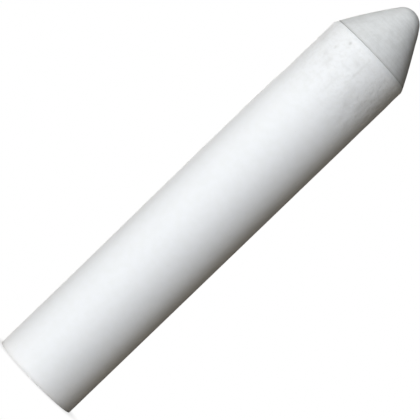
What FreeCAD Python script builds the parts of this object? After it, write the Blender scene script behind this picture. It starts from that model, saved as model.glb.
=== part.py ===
"""Blending stump: a short, thick drawing stump, wound from soft paper and sanded to a rounded point.

The stump stands on its flat butt. +Z runs along the winding axis to the point, the origin is in the
middle of the butt, and the lap of the cover runs up the back, on the +Y side.

Each sheet is a spiral wound on two centres. Half turn number i is a semicircle about (-q, 0) when i is
even and about (+q, 0) when i is odd, where q is a quarter of the winding pitch. Its inner radius is
R(i) = R(0) + 2 q i, so the ends of all half turns meet on the X axis of the winding.
"""
import FreeCAD
import Part
import Sketcher
import math
import os
from FreeCAD import Placement, Rotation, Vector

# Driving dimensions in millimetres, turns and degrees: alias, value, meaning.
DIMENSIONS = (
    ("body_dia", 19.0, "barrel, across the wound cover"),
    ("total_length", 102.0, "butt to tip"),
    ("point_length", 12.65, "shoulder to tip, along the axis"),
    ("nose_radius", 3.3, "rounding of the tip"),
    ("ogive_radius", 100.0, "lengthwise curve of the sanded flank"),
    ("core_paper", 0.38, "thickness of the soft core paper"),
    ("core_gap", 0.05, "least air between two turns of the core"),
    ("head_fold", 0.1, "inner radius of the first half turn, folded solid"),
    ("core_strip", 285.0, "length of one strip of core paper"),
    ("cover_paper", 0.18, "thickness of the cover paper"),
    ("cover_gap", 0.05, "air between the turns of the cover"),
    ("cover_turns", 2.0, "whole turns of the cover"),
    ("cover_clearance", 0.05, "least space between core and cover"),
    ("paste_width", 6.0, "width of a line of paste, round the roll"),
    ("paste_setback", 0.5, "paste edge to sheet edge, round the roll"),
    ("paste_inset", 2.0, "paste end to butt, and paste end to shoulder"),
    ("paste_play", 0.005, "paste face to paper face"),
    ("cutter_room", 2.0, "how far the sanding cut runs past the paper"),
    ("seam_angle", 90.0, "turn of the lap about +Z, from +X to the back"),
)

UP = Vector(0, 0, 1)
X_AXIS = -1  # the sketch's own horizontal axis
Y_AXIS = -2  # the sketch's own vertical axis
START, END, CENTRE = 1, 2, 3

document = FreeCAD.newDocument("blending_stump")
sheet = document.addObject("Spreadsheet::Sheet", "dims")
for row, (alias, size, meaning) in enumerate(DIMENSIONS, start=1):
    sheet.set(f"A{row}", meaning)
    sheet.set(f"B{row}", str(size))
    sheet.setAlias(f"B{row}", alias)
document.recompute()


def value(expression):
    """The number that an expression on the sheet's cells comes to."""
    return float(sheet.evalExpression(expression))


class Winding:
    """A spiral on two centres, whose sizes are expressions on the sheet's cells."""

    def __init__(self, paper, quarter, start_radius):
        self.paper = paper
        self.quarter = quarter
        self.start_radius = start_radius

    def inside(self, half_turn):
        """Inner radius of a half turn."""
        return f"({self.start_radius} + {2 * half_turn} * {self.quarter})"

    def outside(self, half_turn):
        """Outer radius of a half turn."""
        return f"({self.inside(half_turn)} + {self.paper})"

    def centre(self, half_turn):
        """Place on the X axis of the centre that a half turn is wound on."""
        return f"({'-' if half_turn % 2 == 0 else ''}1 * {self.quarter})"


# The cover is as wide as the barrel: the roll is widest where its last two half turns meet.
cover_half_turns = 2 * round(value("dims.cover_turns"))
cover_quarter = "((dims.cover_paper + dims.cover_gap) / 4)"
cover_start = (
    f"(dims.body_dia / 2 - dims.cover_paper - {2 * cover_half_turns - 2} * {cover_quarter})"
)
cover = Winding("dims.cover_paper", cover_quarter, cover_start)

# The core fills the cover: as many whole turns as its paper and least gap allow, spread evenly.
core_room = (
    f"({cover.inside(1)} + {cover_quarter} - dims.cover_clearance - dims.core_paper - dims.head_fold)"
)
core_half_turns = 2 * math.floor(
    value(f"2 * {core_room} / (dims.core_paper + dims.core_gap) + 0.5") / 2
)
core_quarter = f"({core_room} / {2 * core_half_turns - 1})"
core = Winding("dims.core_paper", core_quarter, "dims.head_fold")


def strip_end():
    """The half turn after the one where the first strip of core paper runs out, on the lap's side."""
    wound = 0.0
    for half_turn in range(core_half_turns):
        wound += math.pi * value(f"{core.inside(half_turn)} + dims.core_paper / 2")
        if wound >= value("dims.core_strip") and half_turn % 2 == 1:
            return half_turn + 1
    return core_half_turns


def origin_plane(body, role):
    """One of the body's own origin planes."""
    return next(item for item in body.Origin.OriginFeatures if item.Role == role)


def new_sketch(body, name, role):
    """An empty sketch on one of the body's origin planes."""
    sketch = body.newObject("Sketcher::SketchObject", name)
    sketch.AttachmentSupport = (origin_plane(body, role), [""])
    sketch.MapMode = "FlatFace"
    return sketch


def driven(sketch, name, constraint, expression):
    """Adds a dimension to the sketch and binds it to the sheet."""
    index = sketch.addConstraint(constraint)
    sketch.renameConstraint(index, name)
    sketch.setExpression(f"Constraints.{name}", expression)


def add_chain(sketch, winding, half_turns, radius, name, centres, folded=False):
    """Semicircles joined end to end on the X axis: one face of the sheet. A folded sheet's inner face
    begins a quarter of a turn late, below its centre. Returns the arcs' numbers."""
    chain = []
    for half_turn in half_turns:
        circle = Part.Circle(
            Vector(value(winding.centre(half_turn)), 0, 0), UP, value(radius(half_turn))
        )
        start = math.pi * (half_turn % 2)
        late = math.pi / 2 if folded and not chain else 0
        arc = sketch.addGeometry(Part.ArcOfCircle(circle, start + late, start + math.pi), False)
        sketch.addConstraint(
            Sketcher.Constraint("Coincident", arc, CENTRE, centres[half_turn % 2], START)
        )
        if chain:
            sketch.addConstraint(Sketcher.Constraint("Coincident", arc, START, chain[-1], END))
        else:
            if folded:
                begin = Sketcher.Constraint("Vertical", arc, START, arc, CENTRE)
            else:
                begin = Sketcher.Constraint("PointOnObject", arc, START, X_AXIS)
            sketch.addConstraint(begin)
            first_radius = Sketcher.Constraint("Radius", arc, value(radius(half_turn)))
            driven(sketch, name, first_radius, radius(half_turn))
        sketch.addConstraint(Sketcher.Constraint("PointOnObject", arc, END, X_AXIS))
        chain.append(arc)
    return chain


def point_of(sketch, geometry, which):
    """Where a start, end or centre lies in the sketch's plane."""
    return sketch.getPoint(geometry, which)


def add_line(sketch, a, a_point, b, b_point):
    """A straight edge from one point of the sketch to another."""
    line = sketch.addGeometry(
        Part.LineSegment(point_of(sketch, a, a_point), point_of(sketch, b, b_point)), False
    )
    sketch.addConstraint(Sketcher.Constraint("Coincident", line, START, a, a_point))
    sketch.addConstraint(Sketcher.Constraint("Coincident", line, END, b, b_point))
    return line


def draw_winding(body, winding, first, last):
    """The end view of a sheet from half turn first to half turn last. A sheet that starts at the axis
    begins with a solid fold, which fills the middle of the roll up to its own first turn."""
    sketch = new_sketch(body, f"{body.Label}_end_view", "XY_Plane")
    quarter = value(winding.quarter)
    centres = [sketch.addGeometry(Part.Point(Vector(x, 0, 0)), True) for x in (-quarter, quarter)]
    sketch.addConstraint(Sketcher.Constraint("PointOnObject", centres[0], START, X_AXIS))
    sketch.addConstraint(
        Sketcher.Constraint("Symmetric", centres[0], START, centres[1], START, X_AXIS, START)
    )
    driven(
        sketch,
        "half_pitch",
        Sketcher.Constraint("DistanceX", centres[0], START, centres[1], START, 2 * quarter),
        f"2 * {winding.quarter}",
    )
    folded = first == 0 and winding is core
    inside_start = first + 1 if folded else first
    outer = add_chain(
        sketch, winding, range(first, last + 1), winding.outside, "first_outside", centres
    )
    inner = add_chain(
        sketch, winding, range(inside_start, last + 1), winding.inside, "first_inside", centres, folded
    )
    add_line(sketch, inner[0], START, outer[0], START)
    add_line(sketch, inner[-1], END, outer[-1], END)
    return sketch


def flank_centre():
    """Centre of the flank's arc: it passes through the shoulder and is tangent to the nose."""
    shoulder = Vector(value("dims.body_dia / 2"), value("dims.total_length - dims.point_length"), 0)
    nose = Vector(0, value("dims.total_length - dims.nose_radius"), 0)
    to_shoulder = value("dims.ogive_radius")
    to_nose = value("dims.ogive_radius - dims.nose_radius")
    apart = nose - shoulder
    along = (apart.Length**2 + to_shoulder**2 - to_nose**2) / (2 * apart.Length)
    aside = math.sqrt(to_shoulder**2 - along**2)
    across = Vector(-apart.y, apart.x, 0).normalize()
    return shoulder + apart.normalize() * along + across * aside


def draw_sanding_cut(body):
    """Side view of what the sanding takes away: all that lies outside the flank and the nose."""
    sketch = new_sketch(body, f"{body.Label}_sanding", "XZ_Plane")
    radius, nose_radius = value("dims.ogive_radius"), value("dims.nose_radius")
    nose_centre = Vector(0, value("dims.total_length - dims.nose_radius"), 0)
    centre = flank_centre()
    slope = math.atan2(nose_centre.y - centre.y, nose_centre.x - centre.x)
    wide = value("dims.body_dia / 2 + dims.cutter_room")
    flank_start = math.acos((wide - centre.x) / radius)

    nose = sketch.addGeometry(
        Part.ArcOfCircle(Part.Circle(nose_centre, UP, nose_radius), slope, math.pi / 2), False
    )
    flank = sketch.addGeometry(
        Part.ArcOfCircle(Part.Circle(centre, UP, radius), flank_start, slope), False
    )
    shoulder_x = value("dims.body_dia / 2")
    shoulder_y = value("dims.total_length - dims.point_length")
    shoulder = sketch.addGeometry(Part.Point(Vector(shoulder_x, shoulder_y, 0)), True)
    tip = point_of(sketch, nose, END)
    edge = point_of(sketch, flank, START)
    top = value("dims.total_length + 2 * dims.cutter_room")
    corners = (tip, Vector(0, top, 0), Vector(wide, top, 0), edge)
    sides = [
        sketch.addGeometry(Part.LineSegment(a, b), False) for a, b in zip(corners, corners[1:])
    ]

    sketch.addConstraint(Sketcher.Constraint("PointOnObject", nose, CENTRE, Y_AXIS))
    sketch.addConstraint(Sketcher.Constraint("PointOnObject", nose, END, Y_AXIS))
    sketch.addConstraint(Sketcher.Constraint("Tangent", flank, END, nose, START))
    sketch.addConstraint(Sketcher.Constraint("PointOnObject", shoulder, START, flank))
    sketch.addConstraint(Sketcher.Constraint("Coincident", sides[0], START, nose, END))
    sketch.addConstraint(Sketcher.Constraint("Coincident", sides[1], START, sides[0], END))
    sketch.addConstraint(Sketcher.Constraint("Coincident", sides[2], START, sides[1], END))
    sketch.addConstraint(Sketcher.Constraint("Coincident", flank, START, sides[2], END))
    sketch.addConstraint(Sketcher.Constraint("Vertical", sides[0]))
    sketch.addConstraint(Sketcher.Constraint("Horizontal", sides[1]))
    sketch.addConstraint(Sketcher.Constraint("Vertical", sides[2]))
    for name, constraint, expression in (
        ("nose", Sketcher.Constraint("Radius", nose, nose_radius), "dims.nose_radius"),
        ("flank", Sketcher.Constraint("Radius", flank, radius), "dims.ogive_radius"),
        (
            "tip",
            Sketcher.Constraint("DistanceY", X_AXIS, START, nose, END, tip.y),
            "dims.total_length",
        ),
        (
            "shoulder_radius",
            Sketcher.Constraint("DistanceX", X_AXIS, START, shoulder, START, shoulder_x),
            "dims.body_dia / 2",
        ),
        (
            "shoulder_height",
            Sketcher.Constraint("DistanceY", X_AXIS, START, shoulder, START, shoulder_y),
            "dims.total_length - dims.point_length",
        ),
        (
            "cutter_width",
            Sketcher.Constraint("DistanceX", X_AXIS, START, flank, START, wide),
            "dims.body_dia / 2 + dims.cutter_room",
        ),
        (
            "cutter_top",
            Sketcher.Constraint("DistanceY", X_AXIS, START, sides[0], END, top),
            "dims.total_length + 2 * dims.cutter_room",
        ),
    ):
        driven(sketch, name, constraint, expression)
    return sketch


def turn_seam_to_back(piece):
    """Turns a finished piece about +Z so that the lap's side of the winding faces the back."""
    piece.Placement = Placement(Vector(0, 0, 0), Rotation(UP, value("dims.seam_angle")))
    piece.setExpression("Placement.Rotation.Angle", "dims.seam_angle")


def wound_sheet(label, winding, first, last):
    """A sheet of paper wound from half turn first to half turn last, then sanded to the point."""
    body = document.addObject("PartDesign::Body", label)
    body.Label = label
    end_view = draw_winding(body, winding, first, last)
    roll = body.newObject("PartDesign::Pad", f"{label}_roll")
    roll.Profile = end_view
    roll.Length = value("dims.total_length + dims.cutter_room")
    roll.setExpression("Length", "dims.total_length + dims.cutter_room")
    roll.Refine = False
    sanding_view = draw_sanding_cut(body)
    sanding = body.newObject("PartDesign::Groove", f"{label}_point")
    sanding.Profile = sanding_view
    sanding.ReferenceAxis = (sanding_view, ["V_Axis"])
    sanding.Angle = 360.0
    sanding.Refine = False
    turn_seam_to_back(body)
    document.recompute()
    for sketch in (end_view, sanding_view):
        if not sketch.FullyConstrained:
            raise RuntimeError(f"{sketch.Label} isn't fully constrained")
    if sanding.Shape.Volume >= roll.Shape.Volume * 0.999:
        raise RuntimeError(f"{label}: the sanding cut took nothing away")
    return body


def paste_line(label, centre, outside, inner_centre, inside, at_head):
    """A film of paste between two turns: a sector of a cylinder, less the roll inside it. at_head lays
    it after the sheet's first edge, otherwise it lies before the sheet's last edge."""
    film = document.addObject("Part::Cylinder", f"{label}_film")
    film.setExpression("Radius", f"{outside} - dims.paste_play")
    film.setExpression("Height", "dims.total_length - dims.point_length - 2 * dims.paste_inset")
    film.setExpression("Angle", f"dims.paste_width / {outside} * 180 / pi * 1 deg")
    setback = f"dims.paste_setback / {outside} * 180 / pi"
    width = f"dims.paste_width / {outside} * 180 / pi"
    start = setback if at_head else f"360 - {setback} - {width}"
    film.Placement = Placement(Vector(0, 0, 0), Rotation(UP, value(start)))
    film.setExpression("Placement.Rotation.Angle", f"({start}) * 1 deg")
    film.setExpression("Placement.Base.x", centre)
    film.setExpression("Placement.Base.z", "dims.paste_inset")
    inner_roll = document.addObject("Part::Cylinder", f"{label}_inner_roll")
    inner_roll.setExpression("Radius", f"{inside} + dims.paste_play")
    inner_roll.setExpression("Height", "dims.total_length")
    inner_roll.setExpression("Placement.Base.x", inner_centre)
    line = document.addObject("Part::Cut", label)
    line.Label = label
    line.Base = film
    line.Tool = inner_roll
    turn_seam_to_back(line)
    return line


def tail_paste(label, winding, last):
    """Paste under the last half turn of a sheet, in the gap over the turn below it."""
    centre = winding.centre(last)
    return paste_line(label, centre, winding.inside(last), centre, winding.outside(last - 2), False)


join = strip_end()
pieces = [
    wound_sheet("inner_core_sheet", core, 0, join - 1),
    wound_sheet("outer_core_sheet", core, join, core_half_turns - 1),
    wound_sheet("cover_sheet", cover, 0, cover_half_turns - 1),
    tail_paste("inner_tail_paste", core, join - 1),
    paste_line(
        "outer_head_paste",
        core.centre(join),
        core.inside(join),
        core.centre(join),
        core.outside(join - 2),
        True,
    ),
    tail_paste("outer_tail_paste", core, core_half_turns - 1),
    paste_line(
        "cover_head_paste",
        cover.centre(0),
        cover.inside(0),
        core.centre(0),
        core.outside(core_half_turns - 2),
        True,
    ),
    tail_paste("cover_lap_paste", cover, cover_half_turns - 1),
]
document.recompute()

for item in document.Objects:
    if "Invalid" in item.State or "Error" in item.State:
        raise RuntimeError(f"{item.Label} failed: {item.State}")
for piece in pieces:
    if piece.Shape.isNull() or not piece.Shape.isValid() or len(piece.Shape.Solids) != 1:
        raise RuntimeError(f"{piece.Label} isn't one valid solid")

os.makedirs("parts", exist_ok=True)
for piece in pieces:
    piece.Shape.exportStep(f"parts/{piece.Label}.step")
    box = piece.Shape.BoundBox
    print(
        f"{piece.Label}: {piece.Shape.Volume:.1f} mm3, "
        f"x {box.XMin:.3f} to {box.XMax:.3f}, y {box.YMin:.3f} to {box.YMax:.3f}, "
        f"z {box.ZMin:.2f} to {box.ZMax:.2f}"
    )
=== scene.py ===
"""The looks of a blending stump: paper wound into a thick stick and sanded to a rounded point.

The stump stands on its butt at the origin, +Z towards its point and the lap of its cover at the back.
Every length is in metres unless its name or comment says otherwise.
"""
import logging
import math
from dataclasses import dataclass
from enum import Enum
from typing import Any

import bmesh
import bpy
import numpy as np
from mathutils import Matrix, Vector


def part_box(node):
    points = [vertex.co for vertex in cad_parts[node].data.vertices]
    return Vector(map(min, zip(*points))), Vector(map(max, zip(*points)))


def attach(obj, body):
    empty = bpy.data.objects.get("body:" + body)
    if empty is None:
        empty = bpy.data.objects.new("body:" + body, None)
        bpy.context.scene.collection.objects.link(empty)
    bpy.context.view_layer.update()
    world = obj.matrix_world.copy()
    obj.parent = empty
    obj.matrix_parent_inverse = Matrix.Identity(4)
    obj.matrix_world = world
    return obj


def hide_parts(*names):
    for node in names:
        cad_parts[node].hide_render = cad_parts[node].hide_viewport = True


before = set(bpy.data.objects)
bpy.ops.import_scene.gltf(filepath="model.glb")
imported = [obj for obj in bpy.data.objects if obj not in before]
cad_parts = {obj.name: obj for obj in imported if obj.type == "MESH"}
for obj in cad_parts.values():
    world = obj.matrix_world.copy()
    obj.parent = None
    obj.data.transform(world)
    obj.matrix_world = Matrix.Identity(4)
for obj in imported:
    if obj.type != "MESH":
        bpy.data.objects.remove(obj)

LOG = logging.getLogger("stump")
MM = 0.001
FULL_TURN = 2 * math.pi
# Edges of paper that turn by more than this many degrees stay sharp.
SHARP_OVER = 50
# Corners closer than this are one corner.
MERGE = 1e-4 * MM
# Small enough not to be seen: keeps the last section on its own half turn, and a division off zero.
TINY = 1e-9
# Settings that many nodes share: a mix of colours, and a range mapped with soft ends.
COLOURS = {"data_type": "RGBA"}
SOFT_ENDS = {"interpolation_type": "SMOOTHSTEP"}
Array = np.ndarray


class Slot(Enum):
    """The record's material slots for the sheets."""

    CORE = "core_paper"
    COVER = "cover_paper"


# Colour and node helpers


def linear(hex_colour: str) -> tuple[float, float, float, float]:
    """Turns an sRGB hex colour into linear light.

    Args:
        hex_colour: six hex digits after a hash.

    Returns:
        Red, green, blue and an alpha of one.
    """
    channels = np.array([int(hex_colour[i : i + 2], 16) for i in (1, 3, 5)]) / 255
    low = channels / 12.92
    high = ((channels + 0.055) / 1.055) ** 2.4
    red, green, blue = np.where(channels <= 0.04045, low, high)
    return float(red), float(green), float(blue), 1.0


def add_node(
    tree: bpy.types.NodeTree, kind: str, inputs: dict[int | str, Any] | None = None, **settings: Any
) -> bpy.types.Node:
    """Adds a shader node.

    Args:
        tree: the node tree that it goes into.
        kind: the node's type, without its ShaderNode prefix.
        inputs: for each input's name or number, a value to set, an output socket to link, or a node
            whose first output is linked.
        settings: the node's own properties.

    Returns:
        The new node.
    """
    node = tree.nodes.new("ShaderNode" + kind)
    for name, setting in settings.items():
        setattr(node, name, setting)
    for key, given in (inputs or {}).items():
        if isinstance(given, bpy.types.Node):
            tree.links.new(given.outputs[0], node.inputs[key])
        elif isinstance(given, bpy.types.NodeSocket):
            tree.links.new(given, node.inputs[key])
        else:
            node.inputs[key].default_value = given
    return node


def grey_for_shade_and_grime(tree: bpy.types.NodeTree, colour: Any, shade_and_grime: str) -> Any:
    """Greys a colour by a mesh attribute for painted shade and grime in the joint, and darker dents;
    returns the colour's socket.
    """
    amount = add_node(tree, "Attribute", attribute_name="shade_and_grime").outputs["Fac"]
    return add_node(tree, "Mix", {0: amount, 6: colour, 7: linear(shade_and_grime)}, **COLOURS).outputs[2]


def new_material(name: str) -> tuple[bpy.types.Material, bpy.types.NodeTree, bpy.types.Node]:
    """Makes an empty node material.

    Args:
        name: the material's name.

    Returns:
        The material, its node tree and its Principled shader, which is already linked.
    """
    material = bpy.data.materials.new(name)
    material.use_nodes = True
    tree = material.node_tree
    tree.nodes.clear()
    shader = add_node(tree, "BsdfPrincipled")
    add_node(tree, "OutputMaterial", {"Surface": shader})
    return material, tree, shader


# Finishes


@dataclass(frozen=True)
class CalenderedPaper:
    """White wrapping paper pressed smooth between rollers: a low satin, with a faint cloudy formation,
    short fibres pressed flat, and a duller, faintly crinkled end by the shoulder where it is held.

    Real fibres are about 0.03 mm wide and the tooth is finer still. Both are drawn coarser, so that
    they show."""

    white: str = "#F1F2F4"
    cloud: str = "#EFF0F1"
    handled: str = "#E3E3E3"
    soiled: str = "#C9C6C0"
    # Grey for painted shade and grime in the joint with the core, and for darker dents.
    shade_and_grime: str = "#C2C1BE"
    ior: float = 1.47
    roughness: float = 0.64
    cloud_roughness: float = 0.015
    handled_share: float = 0.35
    handled_roughness: float = 0.2
    fleck_share: float = 0.35
    fibre_relief: float = 0.6
    tooth_strength: float = 0.22
    tooth_height: float = 0.012 * MM
    crinkle_strength: float = 0.45
    crinkle_height: float = 0.07 * MM
    formation: float = 1.6 * MM
    fibre: float = 0.35 * MM
    tooth: float = 0.11 * MM
    scratch_width: float = 0.16 * MM
    scratch_length: float = 9.0 * MM
    scratch_patch: float = 11 * MM
    handled_from: float = 70.0 * MM
    handled_to: float = 84.0 * MM

    def build(self) -> bpy.types.Material:
        """Makes the material. It follows the sheet's own UV map, in metres: round the roll, and up.

        Returns:
            The material.
        """
        material, tree, shader = new_material("calendered white wrapping paper")
        sheet = add_node(tree, "UVMap", uv_map="sheet")
        height = add_node(tree, "SeparateXYZ", {0: sheet}).outputs[1]
        grain = {"Vector": sheet, "Scale": 1 / self.formation, "Detail": 3}
        pulp = add_node(tree, "TexNoise", grain)
        clouds = add_node(tree, "MapRange", {0: pulp, 1: 0.3, 2: 0.7}, **SOFT_ENDS)
        grain = {"Vector": sheet, "Scale": 1 / self.fibre, "Detail": 4, "Roughness": 0.6}
        fibres = add_node(tree, "TexNoise", grain)
        held = {0: height, 1: self.handled_from, 2: self.handled_to}
        worn = add_node(tree, "MapRange", held, **SOFT_ENDS)
        grain = {"Vector": sheet, "Scale": 2 / self.formation, "Detail": 4, "Roughness": 0.6}
        touches = add_node(tree, "TexNoise", grain)
        blotches = add_node(tree, "MapRange", {0: touches, 1: 0.42, 2: 0.66}, **SOFT_ENDS)
        marks = add_node(tree, "Math", {0: worn, 1: blotches}, operation="MULTIPLY")

        shades = {0: clouds, 6: linear(self.white), 7: linear(self.cloud)}
        colour = add_node(tree, "Mix", shades, **COLOURS).outputs[2]
        soiling = add_node(tree, "Math", {0: marks, 1: self.handled_share}, operation="MULTIPLY")
        shades = {0: soiling, 6: colour, 7: linear(self.handled)}
        colour = add_node(tree, "Mix", shades, **COLOURS).outputs[2]
        flecks = add_node(tree, "MapRange", {0: fibres, 1: 0.66, 2: 0.74, 4: self.fleck_share}, **SOFT_ENDS)
        shades = {0: flecks, 6: colour, 7: linear(self.soiled)}
        colour = add_node(tree, "Mix", shades, **COLOURS).outputs[2]
        tree.links.new(grey_for_shade_and_grime(tree, colour, self.shade_and_grime), shader.inputs["Base Color"])

        smooth, dull = self.roughness - self.cloud_roughness, self.roughness + self.cloud_roughness
        rubbed = add_node(tree, "Math", {0: marks, 1: self.handled_roughness}, operation="MULTIPLY")
        satin = add_node(tree, "MapRange", {0: clouds, 3: smooth, 4: dull}, **SOFT_ENDS)
        rough = add_node(tree, "Math", {0: satin, 1: rubbed}, operation="ADD")
        tree.links.new(rough.outputs[0], shader.inputs["Roughness"])

        tooth = add_node(tree, "TexNoise", {"Vector": sheet, "Scale": 1 / self.tooth})
        raised = add_node(tree, "Math", {0: fibres, 1: self.fibre_relief}, operation="MULTIPLY")
        relief = add_node(tree, "Math", {0: raised, 1: tooth}, operation="ADD")
        relief = add_node(tree, "Math", {0: relief, 1: self.scratches(tree, sheet)}, operation="SUBTRACT")
        fine = {"Strength": self.tooth_strength, "Distance": self.tooth_height, "Height": relief}
        creases = add_node(tree, "TexNoise", {"Vector": sheet, "Scale": 2 / self.formation})
        dimples = add_node(tree, "Math", {0: marks, 1: creases}, operation="MULTIPLY")
        crinkle = {"Strength": self.crinkle_strength, "Distance": self.crinkle_height, "Height": dimples}
        bump = add_node(tree, "Bump", {**crinkle, "Normal": add_node(tree, "Bump", fine)}, invert=True)
        tree.links.new(bump.outputs[0], shader.inputs["Normal"])
        shader.inputs["IOR"].default_value = self.ior
        return material

    def scratches(self, tree: bpy.types.NodeTree, sheet: bpy.types.Node) -> bpy.types.Node:
        """Sparse hairline scratches along the stick: noise stretched lengthwise, its ridges kept.

        Args:
            tree: the material's node tree.
            sheet: the node that gives the place on the sheet.

        Returns:
            The node that is one in a scratch and zero beside it.
        """
        stretch = (1.0, self.scratch_width / self.scratch_length, 1.0)
        along = add_node(tree, "Mapping", {"Vector": sheet, "Scale": stretch})
        grain = {"Vector": along, "Scale": 1 / self.scratch_width, "Detail": 1}
        ridges = add_node(tree, "TexNoise", grain)
        lines = add_node(tree, "MapRange", {0: ridges, 1: 0.7, 2: 0.76}, **SOFT_ENDS)
        grain = {"Vector": sheet, "Scale": 1 / self.scratch_patch, "Detail": 1}
        patches = add_node(tree, "TexNoise", grain)
        places = add_node(tree, "MapRange", {0: patches, 1: 0.54, 2: 0.62}, **SOFT_ENDS)
        return add_node(tree, "Math", {0: lines, 1: places}, operation="MULTIPLY")


@dataclass(frozen=True)
class FeltedPaper:
    """Soft, unsized core paper, raised to a nap by sanding: dull, greyer than the cover, with loose
    fibres all over it and the edge of every turn just showing.

    Real fibres are about 0.03 mm wide. They are drawn coarser, so that they show."""

    nap: str = "#E3E4E5"
    hollow: str = "#CDCDCC"
    turn_edge: str = "#CFCFCD"
    # Grey for painted shade and grime in the joint with the cover.
    shade_and_grime: str = "#AFAFAE"
    ior: float = 1.45
    roughness: float = 0.93
    clump: float = 1.6 * MM
    clump_share: float = 0.45
    clump_relief: float = 0.5
    fibre: float = 0.22 * MM
    fibre_share: float = 0.4
    edge_share: float = 0.09
    edge_relief: float = 0.07
    nap_strength: float = 0.45
    nap_height: float = 0.05 * MM
    sheen: float = 0.04
    sheen_roughness: float = 0.6

    def build(self) -> bpy.types.Material:
        """Makes the material. Fibres are solid noise; the turns come from the sheet's second UV map,
        which runs from zero on the inner face of the paper to one on its outer face.

        Returns:
            The material.
        """
        material, tree, shader = new_material("soft unsized stump paper")
        place = add_node(tree, "TexCoord").outputs["Object"]
        turn = add_node(tree, "UVMap", uv_map="turn")
        across = add_node(tree, "SeparateXYZ", {0: turn}).outputs[1]
        grain = {"Vector": place, "Scale": 1 / self.clump, "Detail": 3, "Roughness": 0.6}
        tangle = add_node(tree, "TexNoise", grain)
        clumps = add_node(tree, "MapRange", {0: tangle, 1: 0.3, 2: 0.72}, **SOFT_ENDS)
        grain = {"Vector": place, "Scale": 1 / self.fibre, "Detail": 5, "Roughness": 0.65}
        fibres = add_node(tree, "TexNoise", grain)
        from_middle = add_node(tree, "Math", {0: across, 1: 0.5}, operation="SUBTRACT")
        from_middle = add_node(tree, "Math", {0: from_middle}, operation="ABSOLUTE")
        edges = add_node(tree, "MapRange", {0: from_middle, 1: 0.3, 2: 0.52}, **SOFT_ENDS)

        clumping = add_node(tree, "Math", {0: clumps, 1: self.clump_share}, operation="MULTIPLY")
        shades = {0: clumping, 6: linear(self.nap), 7: linear(self.hollow)}
        colour = add_node(tree, "Mix", shades, **COLOURS).outputs[2]
        between = add_node(tree, "MapRange", {0: fibres, 1: 0.5, 2: 0.75, 4: self.fibre_share}, **SOFT_ENDS)
        shades = {0: between, 6: colour, 7: linear(self.hollow)}
        colour = add_node(tree, "Mix", shades, **COLOURS).outputs[2]
        edging = add_node(tree, "Math", {0: edges, 1: self.edge_share}, operation="MULTIPLY")
        shades = {0: edging, 6: colour, 7: linear(self.turn_edge)}
        colour = add_node(tree, "Mix", shades, **COLOURS).outputs[2]
        tree.links.new(grey_for_shade_and_grime(tree, colour, self.shade_and_grime), shader.inputs["Base Color"])

        tufts = add_node(tree, "Math", {0: clumps, 1: self.clump_relief}, operation="MULTIPLY")
        dips = add_node(tree, "Math", {0: edges, 1: self.edge_relief}, operation="MULTIPLY")
        relief = add_node(tree, "Math", {0: fibres, 1: tufts}, operation="ADD")
        relief = add_node(tree, "Math", {0: relief, 1: dips}, operation="SUBTRACT")
        raised = {"Strength": self.nap_strength, "Distance": self.nap_height, "Height": relief}
        bump = add_node(tree, "Bump", raised)
        tree.links.new(bump.outputs[0], shader.inputs["Normal"])
        shader.inputs["Roughness"].default_value = self.roughness
        shader.inputs["IOR"].default_value = self.ior
        shader.inputs["Sheen Weight"].default_value = self.sheen
        shader.inputs["Sheen Roughness"].default_value = self.sheen_roughness
        return material


@dataclass(frozen=True)
class DriedPaste:
    """Starch paste, brushed on and dried: cream, slightly glassy, in brush-wide streaks."""

    film: str = "#E4DDC6"
    thick: str = "#CDBF98"
    ior: float = 1.53
    glossy: float = 0.32
    matt: float = 0.5
    streak: float = 0.5 * MM
    streak_squash: float = 0.08
    streak_strength: float = 0.3
    streak_height: float = 0.01 * MM

    def build(self) -> bpy.types.Material:
        """Makes the material, streaked up the stick.

        Returns:
            The material.
        """
        material, tree, shader = new_material("dried starch paste")
        place = add_node(tree, "TexCoord").outputs["Object"]
        squash = (1.0, 1.0, self.streak_squash)
        along = add_node(tree, "Mapping", {"Vector": place, "Scale": squash})
        streaks = add_node(tree, "TexNoise", {"Vector": along, "Scale": 1 / self.streak, "Detail": 3})
        pooled = add_node(tree, "MapRange", {0: streaks, 1: 0.35, 2: 0.65}, **SOFT_ENDS)
        shades = {0: pooled, 6: linear(self.film), 7: linear(self.thick)}
        colour = add_node(tree, "Mix", shades, **COLOURS).outputs[2]
        tree.links.new(colour, shader.inputs["Base Color"])
        gloss = {0: streaks, 1: 0.3, 2: 0.7, 3: self.glossy, 4: self.matt}
        rough = add_node(tree, "MapRange", gloss, **SOFT_ENDS)
        tree.links.new(rough.outputs[0], shader.inputs["Roughness"])
        raised = {"Strength": self.streak_strength, "Distance": self.streak_height, "Height": streaks}
        bump = add_node(tree, "Bump", raised)
        tree.links.new(bump.outputs[0], shader.inputs["Normal"])
        shader.inputs["IOR"].default_value = self.ior
        return material


# Shape helpers


def ease(position: Array | float, low: float, high: float) -> Array:
    """Rises smoothly from zero at low to one at high: three squared less two cubed."""
    share = np.clip((np.asarray(position, float) - low) / (high - low), 0, 1)
    return share * share * (3 - 2 * share)


def hump(position: Array, middle: float, spread: float) -> Array:
    """A bell of height one: e to the minus half the square of the distance in spreads."""
    return np.exp(-0.5 * ((position - middle) / spread) ** 2)


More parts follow.
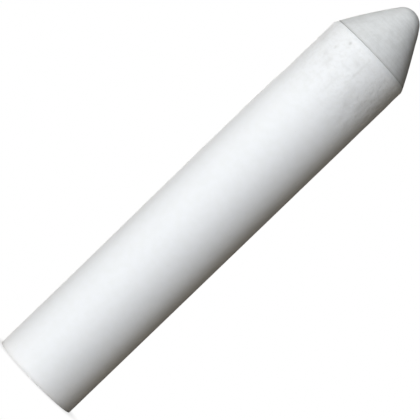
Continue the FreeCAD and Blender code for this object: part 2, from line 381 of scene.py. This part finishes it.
@dataclass(frozen=True)
class Ripple:
    """A gentle random surface: the sum of sines in random directions, each with its own phase."""

    wave: float
    height: float
    seed: int
    waves: int = 24

    def at(self, x: Array, y: Array, z: Array) -> Array:
        """The ripple's height at each point of space.

        Args:
            x: points' first coordinate.
            y: points' second coordinate.
            z: points' third coordinate.

        Returns:
            Heights, about plus or minus the ripple's own height.
        """
        rng = np.random.default_rng(self.seed)
        heading = rng.normal(size=(self.waves, 3))
        heading /= np.linalg.norm(heading, axis=1, keepdims=True)
        pace = FULL_TURN / (self.wave * rng.uniform(0.6, 1.7, self.waves))
        phase = rng.uniform(0, FULL_TURN, self.waves)
        place = np.stack(np.broadcast_arrays(x, y, z), axis=-1)
        waves = np.sin(place @ (heading * pace[:, None]).T + phase)
        return self.height * waves.sum(axis=-1) / math.sqrt(self.waves)


@dataclass(frozen=True)
class SandedPoint:
    """The sanded end: a flank that curves lengthwise, tangent to a round nose."""

    tip: float
    barrel_radius: float
    length: float = 12.65 * MM
    nose_radius: float = 3.3 * MM
    flank_radius: float = 100.0 * MM

    @property
    def shoulder(self) -> float:
        """Height at which the flank meets the barrel."""
        return self.tip - self.length

    def flank_centre(self) -> tuple[float, float]:
        """Where the flank's arc is centred: the flank's radius from the shoulder, and that radius less
        the nose's from the middle of the nose.

        Returns:
            Distance from the axis, which is negative, and height.
        """
        start = np.array([self.barrel_radius, self.shoulder])
        apart = np.array([0.0, self.tip - self.nose_radius]) - start
        distance = float(np.hypot(*apart))
        reach = self.flank_radius - self.nose_radius
        along = (distance**2 + self.flank_radius**2 - reach**2) / (2 * distance)
        aside = math.sqrt(self.flank_radius**2 - along**2)
        across = np.array([-apart[1], apart[0]]) / distance
        centre = start + apart / distance * along + across * aside
        return float(centre[0]), float(centre[1])

    def height(self, radius: Array) -> Array:
        """Height of the sanded surface at a distance from the axis: on the nose the root of the nose
        radius squared less that distance squared, over the nose's centre, and on the flank the same
        of the flank's arc.

        Args:
            radius: distances from the axis.

        Returns:
            Heights above the butt.
        """
        centre_radius, centre_height = self.flank_centre()
        nose_height = self.tip - self.nose_radius
        slope = math.atan2(nose_height - centre_height, -centre_radius)
        nose_edge = self.nose_radius * math.cos(slope)
        nose = nose_height + np.sqrt(np.clip(self.nose_radius**2 - radius**2, 0, None))
        flank = centre_height + np.sqrt(self.flank_radius**2 - (radius - centre_radius) ** 2)
        return np.where(radius < nose_edge, nose, flank)


@dataclass(frozen=True)
class Roll:
    """Paper wound on two centres. Half turn i is a semicircle about a point one quarter of the pitch
    to one side of the axis or the other, and its inner radius is the start plus i half pitches."""

    paper: float
    pitch: float
    start: float

    @property
    def air(self) -> float:
        """Space between two turns."""
        return self.pitch - self.paper

    def place(self, turned: Array, across: Array) -> tuple[Array, Array]:
        """Where a point of the sheet lies, seen from above.

        Args:
            turned: how far round the winding it is, in half turns.
            across: how far it is from the sheet's inner face.

        Returns:
            X and Y, with whole turns beginning at the back.
        """
        whole = np.floor(turned)
        centre = np.where(whole % 2 == 0, -1.0, 1.0) * self.pitch / 4
        radius = self.start + whole * self.pitch / 2 + across
        along = centre + radius * np.cos(math.pi * turned)
        aside = radius * np.sin(math.pi * turned)
        return -aside, along

    def length(self, turned: Array) -> Array:
        """Length of paper wound by then, in metres: pi times the mean radius, summed over half turns."""
        mean = self.start + self.paper / 2
        return math.pi * turned * (mean + turned * self.pitch / 4)


def swept_mesh(name: str, points: Array, maps: dict[str, Array], shade_and_grime: Array) -> bpy.types.Mesh:
    """Skins a row of closed sections, corner to corner, and closes both ends.

    Args:
        name: the mesh's name.
        points: sections by corners by three coordinates.
        maps: UV maps, sections by corners plus one by two; the last corner repeats the first.
        shade_and_grime: how grey each corner of each section is drawn, from zero to one, for
        painted shade and grime in the joint and for darker dents.

    Returns:
        A closed mesh whose faces point outwards.
    """
    sections, corners = points.shape[:2]
    row, corner = np.meshgrid(np.arange(sections - 1), np.arange(corners), indexing="ij")
    beside = corner + 1
    quads = np.stack(
        [
            row * corners + corner,
            row * corners + beside % corners,
            (row + 1) * corners + beside % corners,
            (row + 1) * corners + corner,
        ],
        axis=-1,
    ).reshape(-1, 4)
    ends = [list(range(corners))[::-1], list(range((sections - 1) * corners, sections * corners))]
    mesh = bpy.data.meshes.new(name)
    mesh.from_pydata(points.reshape(-1, 3), [], quads.tolist() + ends)
    for map_name, map_points in maps.items():
        layer = mesh.uv_layers.new(name=map_name)
        sides = [map_points[row, corner], map_points[row, beside]]
        sides += [map_points[row + 1, beside], map_points[row + 1, corner]]
        loops = [np.stack(sides, axis=2).reshape(-1, 2)]
        loops += [map_points[0, :-1][::-1], map_points[-1, :-1]]
        layer.data.foreach_set("uv", np.concatenate(loops).astype(np.float32).ravel())
    shade_and_grime_layer = mesh.attributes.new("shade_and_grime", "FLOAT", "POINT")
    shade_and_grime_layer.data.foreach_set("value", shade_and_grime.astype(np.float32).ravel())
    return mesh


def finish_mesh(mesh: bpy.types.Mesh, sharp_over: float) -> None:
    """Merges what coincides, turns every face outwards and shades it smooth up to an angle.

    Args:
        mesh: the mesh, changed in place.
        sharp_over: edges that turn by more than this many degrees stay sharp.
    """
    work = bmesh.new()
    work.from_mesh(mesh)
    bmesh.ops.remove_doubles(work, verts=work.verts, dist=MERGE)
    bmesh.ops.dissolve_degenerate(work, edges=work.edges, dist=MERGE)
    loose = [vertex for vertex in work.verts if not vertex.link_faces]
    bmesh.ops.delete(work, geom=loose, context="VERTS")
    bmesh.ops.recalc_face_normals(work, faces=work.faces)
    work.to_mesh(mesh)
    work.free()
    mesh.polygons.foreach_set("use_smooth", np.ones(len(mesh.polygons), bool))
    mesh.set_sharp_from_angle(angle=math.radians(sharp_over))


def add_piece(
    name: str, mesh: bpy.types.Mesh, material: bpy.types.Material, node: str
) -> None:
    """Puts a finished mesh into the scene in place of its CAD node.

    Args:
        name: the piece's name.
        mesh: its mesh, already in place.
        material: its finish.
        node: the CAD node that it stands for.
    """
    piece = bpy.data.objects.new(name, mesh)
    bpy.context.scene.collection.objects.link(piece)
    mesh.materials.append(material)
    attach(piece, "root")
    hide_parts(node)
    LOG.info("%s: %d triangles", name, len(mesh.loops) - 2 * len(mesh.polygons))


# The stump


@dataclass
class CoreSheet:
    """A strip of the core. Its turns lie apart inside the roll and spread to meet at the sanded point,
    where the nap of each is felted into the next. The last turn can swell out under the cover, with its
    lip tucked below the cover's cut edge, and the joint is greyed with painted shade and grime.

    Along the strip, first, last and the fold's two places are counted in half turns from the axis."""

    node: str
    roll: Roll
    point: SandedPoint
    first: int
    last: int
    folded: bool
    finish: bpy.types.Material
    steps: int = 56
    flare: float = 0.5 * MM
    groove: float = 0.008 * MM
    lip: float = 0.03 * MM
    cut_edge: float = 0.05 * MM
    swell: float = 0.0
    tuck: float = 0.0
    lopsided: float = 0.16 * MM
    lopsided_drop: float = 2.3 * MM
    lopsided_spread: float = 1.4 * MM
    tip_skin: float = 0.002 * MM
    fold_shut: float = 1.35
    fold_open: float = 1.6
    # How strongly the joint is greyed with painted shade and grime.
    shade_and_grime_amount: float = 0.0
    # Painted shade and grime at each corner of the section: it lies in the last turn's lip and outer face,
    # at the joint with the cover.
    edge_shade_and_grime: tuple[float, ...] = (0, 0, 0, 0, 0, 0, 0, 0.3, 1, 1, 0, 0, 0)
    nap: Ripple = Ripple(wave=1.5 * MM, height=0.012 * MM, seed=5)
    butt: Ripple = Ripple(wave=2.5 * MM, height=0.02 * MM, seed=9)

    def section(self, turned: Array) -> tuple[Array, Array, Array]:
        """The outline of the strip's cut end, corner by corner: up its inner face, over the sanded edge,
        down its outer face and back along the butt.

        Args:
            turned: half turns wound at each section.

        Returns:
            Distances from the inner face, drops below the sanded surface, and heights above the butt,
            each sections by corners. A corner that belongs to the butt has no drop, and the other way
            round: those are not numbers.
        """
        half_air = self.roll.air / 2
        paper = self.roll.paper
        outermost = (turned > self.last - 2)[:, None]
        inner, outer = -half_air, paper + half_air
        across = [0, 0, inner, inner + self.lip, paper / 4, paper / 2, 3 * paper / 4]
        across += [outer - self.lip, outer, paper, paper, paper - self.cut_edge, self.cut_edge]
        none = np.nan
        drop = [none, self.flare, self.groove, 0, 0, 0, 0, 0, self.groove, self.flare, none, none, none]
        rise = [self.cut_edge] + [none] * 9 + [self.cut_edge, 0, 0]
        shape = (len(turned), 1)
        across = np.tile(across, shape)
        across[:, 7:9] += np.where(outermost, self.swell, 0)
        drop = np.tile(drop, shape)
        drop[:, 7:9] += np.where(outermost, self.tuck, 0)
        return across, drop, np.tile(rise, shape)

    def build(self) -> None:
        """Winds the strip and puts it in place: each section stands on the two-centre spiral, its top
        corners on the sanded surface less their drop, with a ripple for the nap there and another for
        the cut butt. One side of the nose is fuller, by a bell over its height times the share of the
        way round to that side."""
        turned = np.linspace(self.first, self.last, (self.last - self.first) * self.steps + 1)
        turned[-1] -= TINY
        across, drop, rise = self.section(turned)
        x, y = self.roll.place(turned[:, None], across)
        if self.folded:
            x, y = self.close_fold(turned, across, x, y)
        radius = np.hypot(x, y)
        sanded = self.point.height(radius) - drop - self.nap.height
        sanded += self.nap.at(x, y, np.nan_to_num(sanded))
        fuller = hump(sanded, self.point.tip - self.lopsided_drop, self.lopsided_spread)
        fuller *= np.clip(x / (radius + TINY), 0, 1)
        x += np.where(np.isnan(drop), 0, self.lopsided * np.nan_to_num(fuller))
        sanded = np.minimum(sanded, self.point.tip - self.tip_skin)
        cut = rise + self.butt.height + self.butt.at(x, y, np.floor(turned)[:, None] * MM)
        z = np.where(np.isnan(drop), np.maximum(cut, 0.0), sanded)
        length = np.broadcast_to(self.roll.length(turned)[:, None], across.shape)
        share = across / self.roll.paper
        maps = {
            "sheet": repeat_first(np.stack([length, z], axis=-1)),
            "turn": repeat_first(np.stack([length, share], axis=-1)),
        }
        # The last turn's lip and outer face are greyed: painted shade and grime in the joint with the
        # cover.
        shade_and_grime = np.where((turned > self.last - 2)[:, None], np.array(self.edge_shade_and_grime), 0) * self.shade_and_grime_amount
        mesh = swept_mesh(self.node, np.stack([x, y, z], axis=-1), maps, shade_and_grime)
        finish_mesh(mesh, SHARP_OVER)
        add_piece(f"{self.node}_wound", mesh, self.finish, self.node)

    def close_fold(self, turned: Array, across: Array, x: Array, y: Array) -> tuple[Array, Array]:
        """Fills the middle of the roll: up to where the fold is shut the inner face is drawn in to the
        axis, the corners between keep their share of the way out, and from there to where the fold is
        open the paper is let go smoothly.

        Args:
            turned: half turns wound at each section.
            across: distances from the inner face, sections by corners.
            x: the corners' first coordinate.
            y: the corners' second coordinate.

        Returns:
            X and Y with the fold closed.
        """
        open_share = ease(turned, self.fold_shut, self.fold_open)[:, None]
        share = np.clip(across / self.roll.paper, 0, 1)
        inner_x, inner_y = x[:, :1], y[:, :1]
        shift = (1 - open_share) * (1 - share)
        return x - shift * inner_x, y - shift * inner_y


def repeat_first(rows: Array) -> Array:
    """Adds a copy of each row's first corner after its last, for a closed UV map."""
    return np.concatenate([rows, rows[:, :1]], axis=1)


@dataclass(frozen=True)
class Dent:
    """A small pressed-in place on the barrel, drawn more or less darker. Way is degrees round from
    the front, positive to the right, and a darkening below zero takes away from what lies beside it."""

    way: float
    height: float
    width: float
    length: float
    depth: float
    darkening: float = 0.0


@dataclass
class CoverSheet:
    """The outer paper: two turns with a lap up the back, a soft edge where it was sanded through at the
    shoulder, and small dents near that end from being handled. It stands out and steps in on one side,
    where fingers have worked it loose and gripped it."""

    node: str
    roll: Roll
    point: SandedPoint
    half_turns: int
    finish: bpy.types.Material
    hidden_steps: int = 30
    seen_steps: int = 128
    lower_rows: int = 84
    handled_rows: int = 96
    handled: float = 19 * MM
    worn_edge: float = 0.34 * MM
    worn_beyond: float = 0.1 * MM
    worn_drop: float = 0.3 * MM
    cut_edge: float = 0.04 * MM
    lap_relief: float = 0.03 * MM
    lap_taper: float = 0.35
    thinned: float = 0.07 * MM
    swollen: float = 0.26 * MM
    swells_over: tuple[float, float] = (10 * MM, 66 * MM)
    gripped: float = 0.2 * MM
    grips_over: tuple[float, float] = (71 * MM, 77 * MM)
    dents: tuple[Dent, ...] = ()
    small_dents: int = 150
    dented_below: tuple[float, float] = (15 * MM, 0.5 * MM)
    buckles_over: tuple[float, float] = (60 * MM, 80 * MM)
    buckle: Ripple = Ripple(wave=3.2 * MM, height=0.005 * MM, seed=21)
    seed: int = 12

    def all_dents(self) -> list[Dent]:
        """The listed dents, and seeded small ones over the stretch below the shoulder
        where the stick is held.

        Returns:
            Every dent.
        """
        rng = np.random.default_rng(self.seed)
        low, high = (self.point.shoulder - below for below in self.dented_below)
        small = [
            Dent(
                way=float(rng.uniform(-180, 180)),
                height=float(rng.uniform(low, high)),
                width=float(rng.uniform(0.3, 0.9)) * MM,
                length=float(rng.uniform(0.3, 1.1)) * MM,
                depth=float(rng.uniform(0.01, 0.05)) * MM,
                darkening=float(rng.uniform(-0.1, 0.17)),
            )
            for _ in range(self.small_dents)
        ]
        return [*self.dents, *small]

    def handling(self, way: Array, height: Array) -> tuple[Array, Array]:
        """How far the handled barrel stands in or out of its plain winding, and how much darker it is
        drawn: on the left, by the cosine of the angle from there, the swelling less the grip, and
        everywhere, for each dent, its depth (and its darkening) times a bell round the stick times a bell
        along it.

        Args:
            way: angle round the stick, in radians from the front.
            height: height up the stick.

        Returns:
            Distances out from the axis, in metres, and darkening from zero to one.
        """
        left = np.clip(np.cos(way + math.pi / 2), 0, None)
        swollen = self.swollen * ease(height, *self.swells_over)
        gripped = self.gripped * ease(height, *self.grips_over)
        shift = left * (swollen - gripped)
        darkening = np.zeros_like(shift)
        for dent in self.all_dents():
            apart = np.angle(np.exp(1j * (way - math.radians(dent.way)))) * self.point.barrel_radius
            bell = hump(apart, 0, dent.width) * hump(height, dent.height, dent.length)
            shift -= dent.depth * bell
            # Each dent greys the colour in its hollow by its darkening.
            darkening += dent.darkening * bell
        return shift, np.clip(darkening, 0, 1)

    def build(self) -> None:
        """Winds the cover and puts it in place: each section stands on the two-centre spiral, its top
        corners on the sanded surface less the square of how far out they are, and the rows below share
        out the height of its outer corner, closer together where it is handled. The whole section then
        moves straight in or out by what handling, the buckle and the rubbed-down lap come to."""
        paper = self.roll.paper
        seen_from = self.half_turns - 2
        hidden = np.linspace(0, seen_from, seen_from * self.hidden_steps, endpoint=False)
        seen = np.linspace(seen_from, self.half_turns, 2 * self.seen_steps + 1)
        turned = np.concatenate([hidden, seen])
        turned[-1] -= TINY
        top_across = paper * np.array([0, 0.12, 0.3, 0.5, 0.7, 0.88, 1.0])
        handled_from = 1 - self.handled / self.point.shoulder
        handled = np.linspace(1, handled_from, self.handled_rows + 1)[1:]
        climb = np.concatenate([handled, np.linspace(handled_from, 0, self.lower_rows + 1)[1:]])
        side = np.full(len(climb), paper)
        across = np.concatenate([[0], top_across, side, [paper, paper - self.cut_edge, self.cut_edge]])
        across = np.tile(across, (len(turned), 1))
        inmost = (turned < 2)[:, None]
        across[:, 1:4] += np.where(inmost, self.thinned * np.array([1.0, 0.8, 0.4]), 0)
        x, y = self.roll.place(turned[:, None], across)
        radius = np.hypot(x, y)
        way = np.arctan2(x, -y)
        barrel = self.point.barrel_radius
        worn = ease(radius, barrel - self.worn_edge, barrel + self.worn_beyond)
        sanded = self.point.height(radius) - self.worn_drop * worn**2
        top = len(top_across)
        z = np.zeros_like(x)
        z[:, 0] = self.cut_edge
        z[:, 1 : 1 + top] = sanded[:, 1 : 1 + top]
        z[:, 1 + top : -3] = z[:, top : top + 1] * climb + self.cut_edge * (1 - climb)
        z[:, -3] = self.cut_edge
        shift, shade_and_grime = self.handling(way, z)
        shift += self.buckle.at(x, y, z) * ease(z, *self.buckles_over)
        shift -= self.lap_relief * ease(turned, self.half_turns - self.lap_taper, self.half_turns)[:, None]
        x += shift * np.sin(way)
        y -= shift * np.cos(way)
        length = np.broadcast_to(self.roll.length(turned)[:, None], across.shape)
        maps = {"sheet": repeat_first(np.stack([length, z], axis=-1))}
        # The inmost turn's top inner edge is greyed: painted shade and grime in the joint with the core.
        shade_and_grime[:, 1:4] = np.where(inmost, np.array([1.0, 1.0, 0.3]), 0)
        mesh = swept_mesh(self.node, np.stack([x, y, z], axis=-1), maps, shade_and_grime)
        finish_mesh(mesh, SHARP_OVER)
        add_piece(f"{self.node}_wrapped", mesh, self.finish, self.node)


@dataclass
class Stump:
    """The whole stick: two core strips, their cover, and the paste that holds every loose edge."""

    paste: tuple[str, ...] = (
        "inner_tail_paste",
        "outer_head_paste",
        "outer_tail_paste",
        "cover_head_paste",
        "cover_lap_paste",
    )
    core_paper: float = 0.38 * MM
    head_fold: float = 0.1 * MM
    core_half_turns: int = 40
    join: int = 28
    cover_paper: float = 0.18 * MM
    cover_air: float = 0.05 * MM
    cover_half_turns: int = 4
    core_clearance: float = 0.05 * MM
    dents: tuple[Dent, ...] = (
        Dent(-26.5, 88.3 * MM, width=0.22 * MM, length=0.26 * MM, depth=0.09 * MM, darkening=0.75),
        Dent(-37, 85.9 * MM, width=0.16 * MM, length=0.26 * MM, depth=0.06 * MM, darkening=0.45),
        Dent(-41, 83.8 * MM, width=0.4 * MM, length=0.4 * MM, depth=0.03 * MM, darkening=0.3),
        Dent(-2, 86.4 * MM, width=0.36 * MM, length=0.4 * MM, depth=0.035 * MM, darkening=0.3),
        Dent(22, 80.4 * MM, width=0.9 * MM, length=1.3 * MM, depth=0.06 * MM, darkening=0.1),
        Dent(45, 82.0 * MM, width=1.0 * MM, length=1.6 * MM, depth=0.07 * MM, darkening=0.1),
        Dent(5, 85.8 * MM, width=0.18 * MM, length=1.9 * MM, depth=0.02 * MM, darkening=0.3),
        Dent(-8, 80.5 * MM, width=0.25 * MM, length=1.4 * MM, depth=0.03 * MM, darkening=0.2),
    )

    def build(self) -> None:
        """Makes every piece of the stump and dresses the CAD nodes that stay."""
        lowest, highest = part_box("cover_sheet")
        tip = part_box("inner_core_sheet")[1].z
        barrel_radius = (highest.y - lowest.y) / 2
        point = SandedPoint(tip=tip, barrel_radius=barrel_radius)
        cover_pitch = self.cover_paper + self.cover_air
        cover_start = barrel_radius - self.cover_paper - (2 * self.cover_half_turns - 2) * cover_pitch / 4
        cover = Roll(self.cover_paper, cover_pitch, cover_start)
        room = cover_start + 0.75 * cover_pitch - self.core_clearance - self.core_paper - self.head_fold
        core_pitch = 4 * room / (2 * self.core_half_turns - 1)
        core = Roll(self.core_paper, core_pitch, self.head_fold)

        felted = FeltedPaper().build()
        CoreSheet("inner_core_sheet", core, point, 0, self.join, True, felted).build()
        CoreSheet(
            "outer_core_sheet",
            core,
            point,
            self.join,
            self.core_half_turns,
            False,
            felted,
            swell=0.13 * MM,
            tuck=0.05 * MM,
            shade_and_grime_amount=1.0,
        ).build()
        CoverSheet(
            "cover_sheet", cover, point, self.cover_half_turns, CalenderedPaper().build(), dents=self.dents
        ).build()
        film = DriedPaste().build()
        for name in self.paste:
            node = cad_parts[name]
            node.data.materials.clear()
            node.data.materials.append(film)
            LOG.info("%s: dressed", name)


# The studio


@dataclass(frozen=True)
class Softbox:
    """A panel of soft light that faces the middle of the stick and isn't seen itself. Way is degrees
    round from the front, positive to the right, and climb is degrees above the level."""

    name: str
    way: float
    climb: float
    power: float
    colour: tuple[float, float, float] = (1.0, 1.0, 1.0)
    distance: float = 1.5
    width: float = 0.62
    tall: float = 0.62

    def build(self, target: Vector) -> None:
        """Hangs the lamp.

        Args:
            target: what it faces.
        """
        light = bpy.data.lights.new(self.name, "AREA")
        light.shape = "RECTANGLE"
        light.size = self.width
        light.size_y = self.tall
        light.energy = self.power
        light.color = self.colour
        lamp = bpy.data.objects.new(self.name, light)
        around, up = math.radians(self.way), math.radians(self.climb)
        away = Vector((math.sin(around) * math.cos(up), -math.cos(around) * math.cos(up), math.sin(up)))
        lamp.location = target + away * self.distance
        lamp.rotation_euler = away.to_track_quat("Z", "Y").to_euler()
        lamp.visible_camera = False
        bpy.context.scene.collection.objects.link(lamp)


@dataclass
class Studio:
    """A white table, a white surround that hardly lights the stick, soft lamps and a long lens."""

    distance: float = 0.581
    lens: float = 257.0
    roll: float = 46.1
    aim_aside: float = 0.135 * MM
    aim_height: float = 46.9 * MM
    climb: float = 0.4
    floor_size: float = 6.0
    floor_drop: float = 0.05 * MM
    floor_bounce: str = "#C2AE98"
    shadow_reach: float = 4 * MM
    shadow_depth: float = 0.2
    room_light: float = 0.01
    room_colour: str = "#FFE9CC"
    boxes: tuple[Softbox, ...] = (
        Softbox("key softbox", way=-30, climb=5, power=16.5, colour=(0.85, 0.9, 0.98), tall=0.26),
        Softbox("left softbox", way=-66, climb=30, power=5.4, colour=(1.0, 0.98, 0.84)),
        Softbox("front softbox", way=10, climb=0, power=4.8, colour=(0.95, 0.97, 0.92), tall=0.09),
        Softbox("left back softbox", way=-162, climb=4, power=8.0, colour=(1.0, 0.98, 0.94)),
        Softbox("right back softbox", way=172, climb=4, power=1.8, colour=(1.0, 0.84, 0.66)),
    )

    def build(self) -> None:
        """Makes the floor, the surround, the lamps and the camera."""
        self.floor()
        self.surround()
        for box in self.boxes:
            box.build(Vector((0, 0, self.aim_height)))
        self.camera()
        bpy.context.scene.view_settings.view_transform = "Standard"

    def floor(self) -> None:
        """Makes a wide table just under the butt. The camera sees it plain white but for a soft shadow
        where the butt shades it; the stick catches what bounces off a warm, pale top."""
        half = self.floor_size / 2
        corners = [(-half, -half), (half, -half), (half, half), (-half, half)]
        mesh = bpy.data.meshes.new("white table")
        mesh.from_pydata([(x, y, -self.floor_drop) for x, y in corners], [], [(0, 1, 2, 3)])
        material, tree, shader = new_material("white table top")
        shader.inputs["Base Color"].default_value = linear(self.floor_bounce)
        shader.inputs["Roughness"].default_value = 0.9
        shader.inputs["Specular IOR Level"].default_value = 0.0
        open_sky = add_node(tree, "AmbientOcclusion", {"Distance": self.shadow_reach}).outputs["AO"]
        lit = {0: open_sky, 1: 0.5, 2: 1.0, 3: 1 - self.shadow_depth}
        white = add_node(tree, "MapRange", lit, **SOFT_ENDS)
        seen = add_node(tree, "Emission", {"Strength": white})
        straight = add_node(tree, "LightPath").outputs["Is Camera Ray"]
        mixed = add_node(tree, "MixShader", {0: straight, 1: shader, 2: seen})
        tree.links.new(mixed.outputs[0], tree.nodes["Material Output"].inputs["Surface"])
        mesh.materials.append(material)
        table = bpy.data.objects.new("white table", mesh)
        bpy.context.scene.collection.objects.link(table)

    def surround(self) -> None:
        """White to the camera; for the light that falls on the stick, a nearly dark room."""
        world = bpy.data.worlds.new("white surround")
        bpy.context.scene.world = world
        world.use_nodes = True
        tree = world.node_tree
        tree.nodes.clear()
        seen = add_node(tree, "Background", {"Color": (1, 1, 1, 1), "Strength": 1.0})
        dim = {"Color": linear(self.room_colour), "Strength": self.room_light}
        room = add_node(tree, "Background", dim)
        straight = add_node(tree, "LightPath").outputs["Is Camera Ray"]
        mixed = add_node(tree, "MixShader", {0: straight, 1: room, 2: seen})
        add_node(tree, "OutputWorld", {"Surface": mixed})

    def camera(self) -> None:
        """A long lens, level with the middle of the stick and rolled so that the stick lies aslant."""
        lens = bpy.data.cameras.new("long lens")
        lens.lens = self.lens
        lens.clip_start = 0.01
        camera = bpy.data.objects.new("long lens", lens)
        aim = Vector((self.aim_aside, 0, self.aim_height))
        up = math.radians(self.climb)
        away = Vector((0, -math.cos(up), math.sin(up)))
        level = away.to_track_quat("Z", "Y").to_matrix()
        turn = level @ Matrix.Rotation(math.radians(self.roll), 3, "Z")
        camera.matrix_world = Matrix.Translation(aim + away * self.distance) @ turn.to_4x4()
        bpy.context.scene.collection.objects.link(camera)
        bpy.context.scene.camera = camera


def main() -> None:
    """Builds the stump and its studio."""
    logging.basicConfig(level=logging.INFO, format="%(message)s")
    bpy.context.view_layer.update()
    Stump().build()
    Studio().build()


if __name__ == "__main__":
    main()
